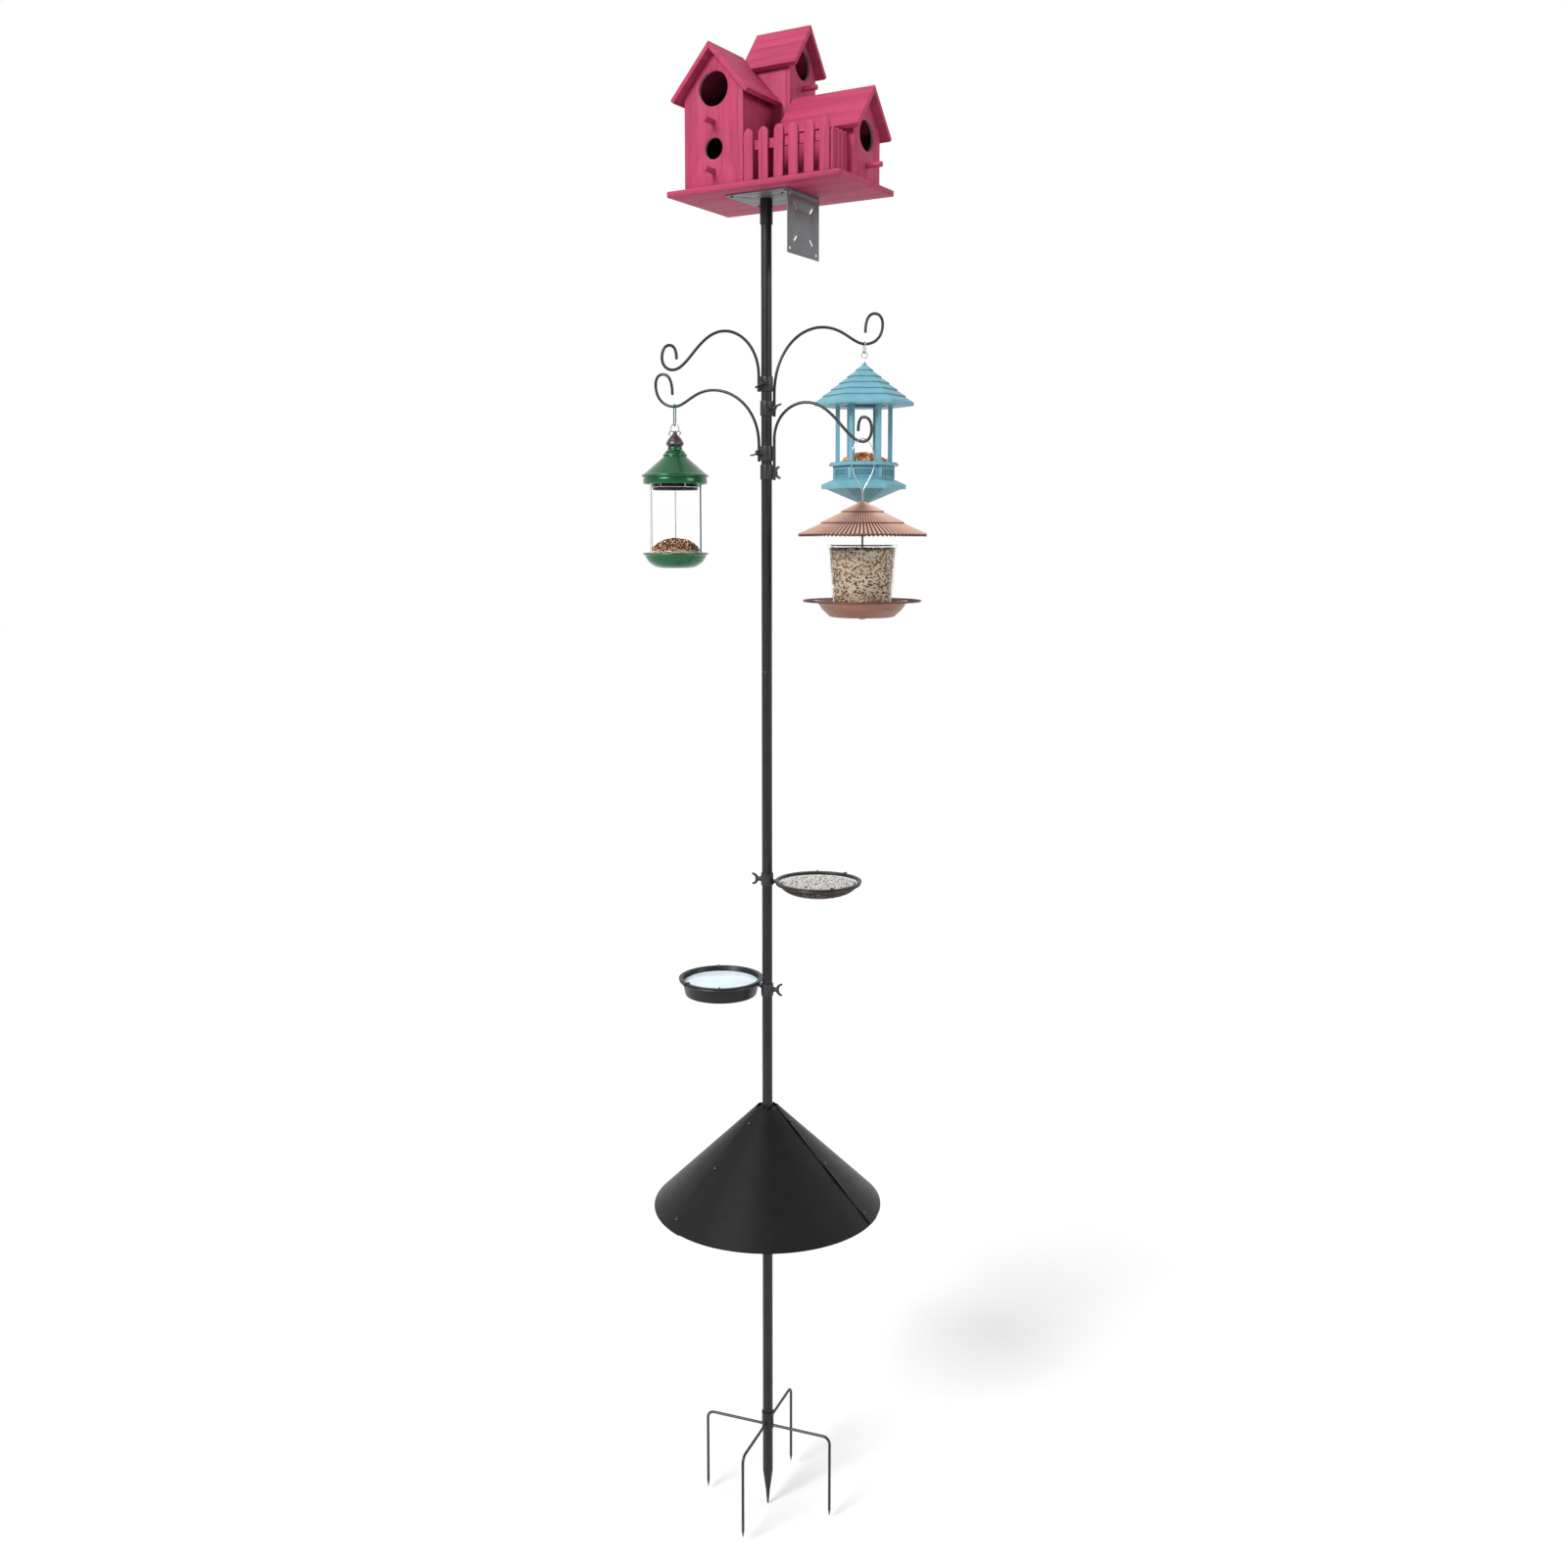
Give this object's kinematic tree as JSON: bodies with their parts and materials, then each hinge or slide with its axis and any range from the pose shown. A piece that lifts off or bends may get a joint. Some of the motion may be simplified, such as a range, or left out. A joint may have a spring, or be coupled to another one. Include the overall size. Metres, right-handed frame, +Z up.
{
  "type": "bird feeder on pole",
  "caption": "Garden bird station: staked pole with squirrel baffle, water dish, mesh tray, shepherd hooks, hanging feeders and a picket-fenced birdhouse on top.",
  "frame": {"origin": "on the pole's axis at ground level, where the ground prongs' wires cross the stake", "axes": "+Z up along the pole; -Y is the front that the picture shows, with the baffle's front panel and the lower right hook; +X to the right seen from the front"},
  "size_m": [0.584, 0.4878, 3.1506],
  "materials": {
    "pole_steel": "satin black powder coat",
    "wire_steel": "satin black powder coat",
    "baffle_steel": "smooth satin charcoal coat",
    "dish_plastic": "satin moulded plastic",
    "mesh_steel": "black coated wire mesh",
    "bracket_steel": "grey satin steel plate",
    "pink_wood": "crimson pink stain over visible grain",
    "green_metal": "metallic green lacquer",
    "dark_metal": "dark grey satin metal",
    "bright_wire": "bright plated wire",
    "clear_plastic": "clear moulded plastic",
    "blue_wood": "light teal blue satin paint",
    "copper_paint": "satin copper brown coat",
    "seed": "mixed bird seed",
    "water": "still water"
  },
  "bodies": {
    "pole": {"ground_stake": "pole_steel", "prong_wire_side": "wire_steel", "prong_wire_front": "wire_steel", "pole_lower": "pole_steel", "pole_middle": "pole_steel", "pole_upper": "pole_steel"},
    "baffle": {"baffle_panel_front": "baffle_steel", "baffle_panel_right": "baffle_steel", "baffle_panel_left": "baffle_steel", "baffle_collar": "baffle_steel"},
    "baffle_screw": {"baffle_thumb_screw": "wire_steel"},
    "dish_bracket": {"water_dish_bracket": "wire_steel"},
    "dish_screw": {"water_dish_wing_screw": "wire_steel"},
    "dish": {"water_dish": "dish_plastic"},
    "tray_bracket": {"mesh_tray_bracket": "wire_steel"},
    "tray_screw": {"mesh_tray_wing_screw": "wire_steel"},
    "tray": {"mesh_tray": "mesh_steel"},
    "hook_upper_left": {"hook_upper_left": "wire_steel"},
    "screw_upper_left": {"wing_screw_upper_left": "wire_steel"},
    "hook_upper_right": {"hook_upper_right": "wire_steel"},
    "screw_upper_right": {"wing_screw_upper_right": "wire_steel"},
    "hook_lower_left": {"hook_lower_left": "wire_steel"},
    "screw_lower_left": {"wing_screw_lower_left": "wire_steel"},
    "hook_lower_right": {"hook_lower_right": "wire_steel"},
    "screw_lower_right": {"wing_screw_lower_right": "wire_steel"},
    "green_link": {"green_hanger": "bright_wire"},
    "green_lid": {"green_ring": "bright_wire", "green_finial": "dark_metal", "green_roof": "green_metal"},
    "green_feeder": {"green_cage": "dark_metal", "green_tube": "clear_plastic", "green_tray": "green_metal"},
    "blue_link": {"blue_hanger_link": "bright_wire"},
    "blue_feeder": {"blue_eye": "bright_wire", "blue_roof": "blue_wood", "blue_post_frame": "blue_wood", "blue_tray": "blue_wood", "blue_base": "blue_wood"},
    "copper_feeder": {"copper_bail": "bright_wire", "copper_rod": "dark_metal", "copper_hopper": "clear_plastic", "copper_tray": "copper_paint"},
    "copper_lid": {"copper_roof": "copper_paint"},
    "house": {"top_socket": "pole_steel", "top_bracket": "bracket_steel", "base_board": "pink_wood", "tall_house_walls": "pink_wood", "tall_house_perch_upper": "pink_wood", "tall_house_perch_lower": "pink_wood", "tall_house_roof_left": "pink_wood", "tall_house_roof_right": "pink_wood", "tower_walls": "pink_wood", "tower_perch": "pink_wood", "tower_roof_front": "pink_wood", "tower_roof_back": "pink_wood", "small_house_walls": "pink_wood", "small_house_perch": "pink_wood", "small_house_roof_front": "pink_wood", "small_house_roof_back": "pink_wood", "picket_fence": "pink_wood"}
  },
  "joints": [
    {"name": "baffle_height", "type": "slide", "parent": "pole", "child": "baffle", "axis": [0, 0, 1], "range_m": [-0.35, 0.2]},
    {"name": "baffle_screw_turn", "type": "hinge", "parent": "baffle", "child": "baffle_screw", "pos_m": [0, 0, 0.675], "axis": [1, 0, 0], "continuous": true},
    {"name": "dish_swivel", "type": "hinge", "parent": "pole", "child": "dish_bracket", "pos_m": [0, 0, 0.978], "axis": [0, 0, 1], "continuous": true},
    {"name": "dish_screw_turn", "type": "hinge", "parent": "dish_bracket", "child": "dish_screw", "pos_m": [0, 0, 0.978], "axis": [0.9903, -0.1392, 0], "continuous": true},
    {"name": "dish_lift", "type": "slide", "parent": "dish_bracket", "child": "dish", "axis": [0, 0, 1], "range_m": [0, 0.06]},
    {"name": "tray_swivel", "type": "hinge", "parent": "pole", "child": "tray_bracket", "pos_m": [0, 0, 1.218], "axis": [0, 0, 1], "continuous": true},
    {"name": "tray_screw_turn", "type": "hinge", "parent": "tray_bracket", "child": "tray_screw", "pos_m": [0, 0, 1.218], "axis": [-0.9903, 0.1392, 0], "continuous": true},
    {"name": "tray_lift", "type": "slide", "parent": "tray_bracket", "child": "tray", "axis": [0, 0, 1], "range_m": [0, 0.06]},
    {"name": "hook_upper_left_swivel", "type": "hinge", "parent": "pole", "child": "hook_upper_left", "pos_m": [0, 0, 2.246], "axis": [0, 0, 1], "range_deg": [-15, 60]},
    {"name": "screw_upper_left_turn", "type": "hinge", "parent": "hook_upper_left", "child": "screw_upper_left", "pos_m": [0, 0, 2.246], "axis": [-0.5, -0.866, 0], "continuous": true},
    {"name": "hook_upper_right_swivel", "type": "hinge", "parent": "pole", "child": "hook_upper_right", "pos_m": [0, 0, 2.197], "axis": [0, 0, 1], "range_deg": [-5, 50]},
    {"name": "screw_upper_right_turn", "type": "hinge", "parent": "hook_upper_right", "child": "screw_upper_right", "pos_m": [0, 0, 2.197], "axis": [0.766, -0.6428, 0], "continuous": true},
    {"name": "hook_lower_left_swivel", "type": "hinge", "parent": "pole", "child": "hook_lower_left", "pos_m": [0, 0, 2.106], "axis": [0, 0, 1], "range_deg": [-50, 10]},
    {"name": "screw_lower_left_turn", "type": "hinge", "parent": "hook_lower_left", "child": "screw_lower_left", "pos_m": [0, 0, 2.106], "axis": [-0.866, -0.5, 0], "continuous": true},
    {"name": "hook_lower_right_swivel", "type": "hinge", "parent": "pole", "child": "hook_lower_right", "pos_m": [0, 0, 2.068], "axis": [0, 0, 1], "range_deg": [-50, 3]},
    {"name": "screw_lower_right_turn", "type": "hinge", "parent": "hook_lower_right", "child": "screw_lower_right", "pos_m": [0, 0, 2.068], "axis": [0.848, 0.5299, 0], "continuous": true},
    {"name": "green_hanger_swing", "type": "hinge", "parent": "hook_lower_left", "child": "green_link", "pos_m": [-0.19264, 0.07011, 2.2065], "axis": [-0.9397, 0.342, 0], "range_deg": [-9, 9]},
    {"name": "green_feeder_swing", "type": "hinge", "parent": "green_link", "child": "green_lid", "pos_m": [-0.19264, 0.07011, 2.1673], "axis": [-0.342, -0.9397, 0], "range_deg": [-10, 10]},
    {"name": "green_lid_twist", "type": "hinge", "parent": "green_lid", "child": "green_feeder", "pos_m": [-0.19264, 0.07011, 2.0565], "axis": [0, 0, 1], "range_deg": [0, 30]},
    {"name": "blue_link_swing", "type": "hinge", "parent": "hook_upper_right", "child": "blue_link", "pos_m": [0.20297, 0.07388, 2.335], "axis": [0.9397, 0.342, 0], "range_deg": [-9, 9]},
    {"name": "blue_feeder_swing", "type": "hinge", "parent": "blue_link", "child": "blue_feeder", "pos_m": [0.20297, 0.07388, 2.3158], "axis": [-0.342, 0.9397, 0], "range_deg": [-10, 10]},
    {"name": "copper_swing", "type": "hinge", "parent": "hook_lower_right", "child": "copper_feeder", "pos_m": [0.19358, -0.07046, 2.126], "axis": [0.9397, -0.342, 0], "range_deg": [-9, 9]},
    {"name": "copper_roof_lift", "type": "slide", "parent": "copper_feeder", "child": "copper_lid", "axis": [0, 0, 1], "range_m": [0, 0.02]},
    {"name": "house_turn", "type": "hinge", "parent": "pole", "child": "house", "pos_m": [0, 0, 2.59], "axis": [0, 0, 1], "continuous": true}
  ]
}
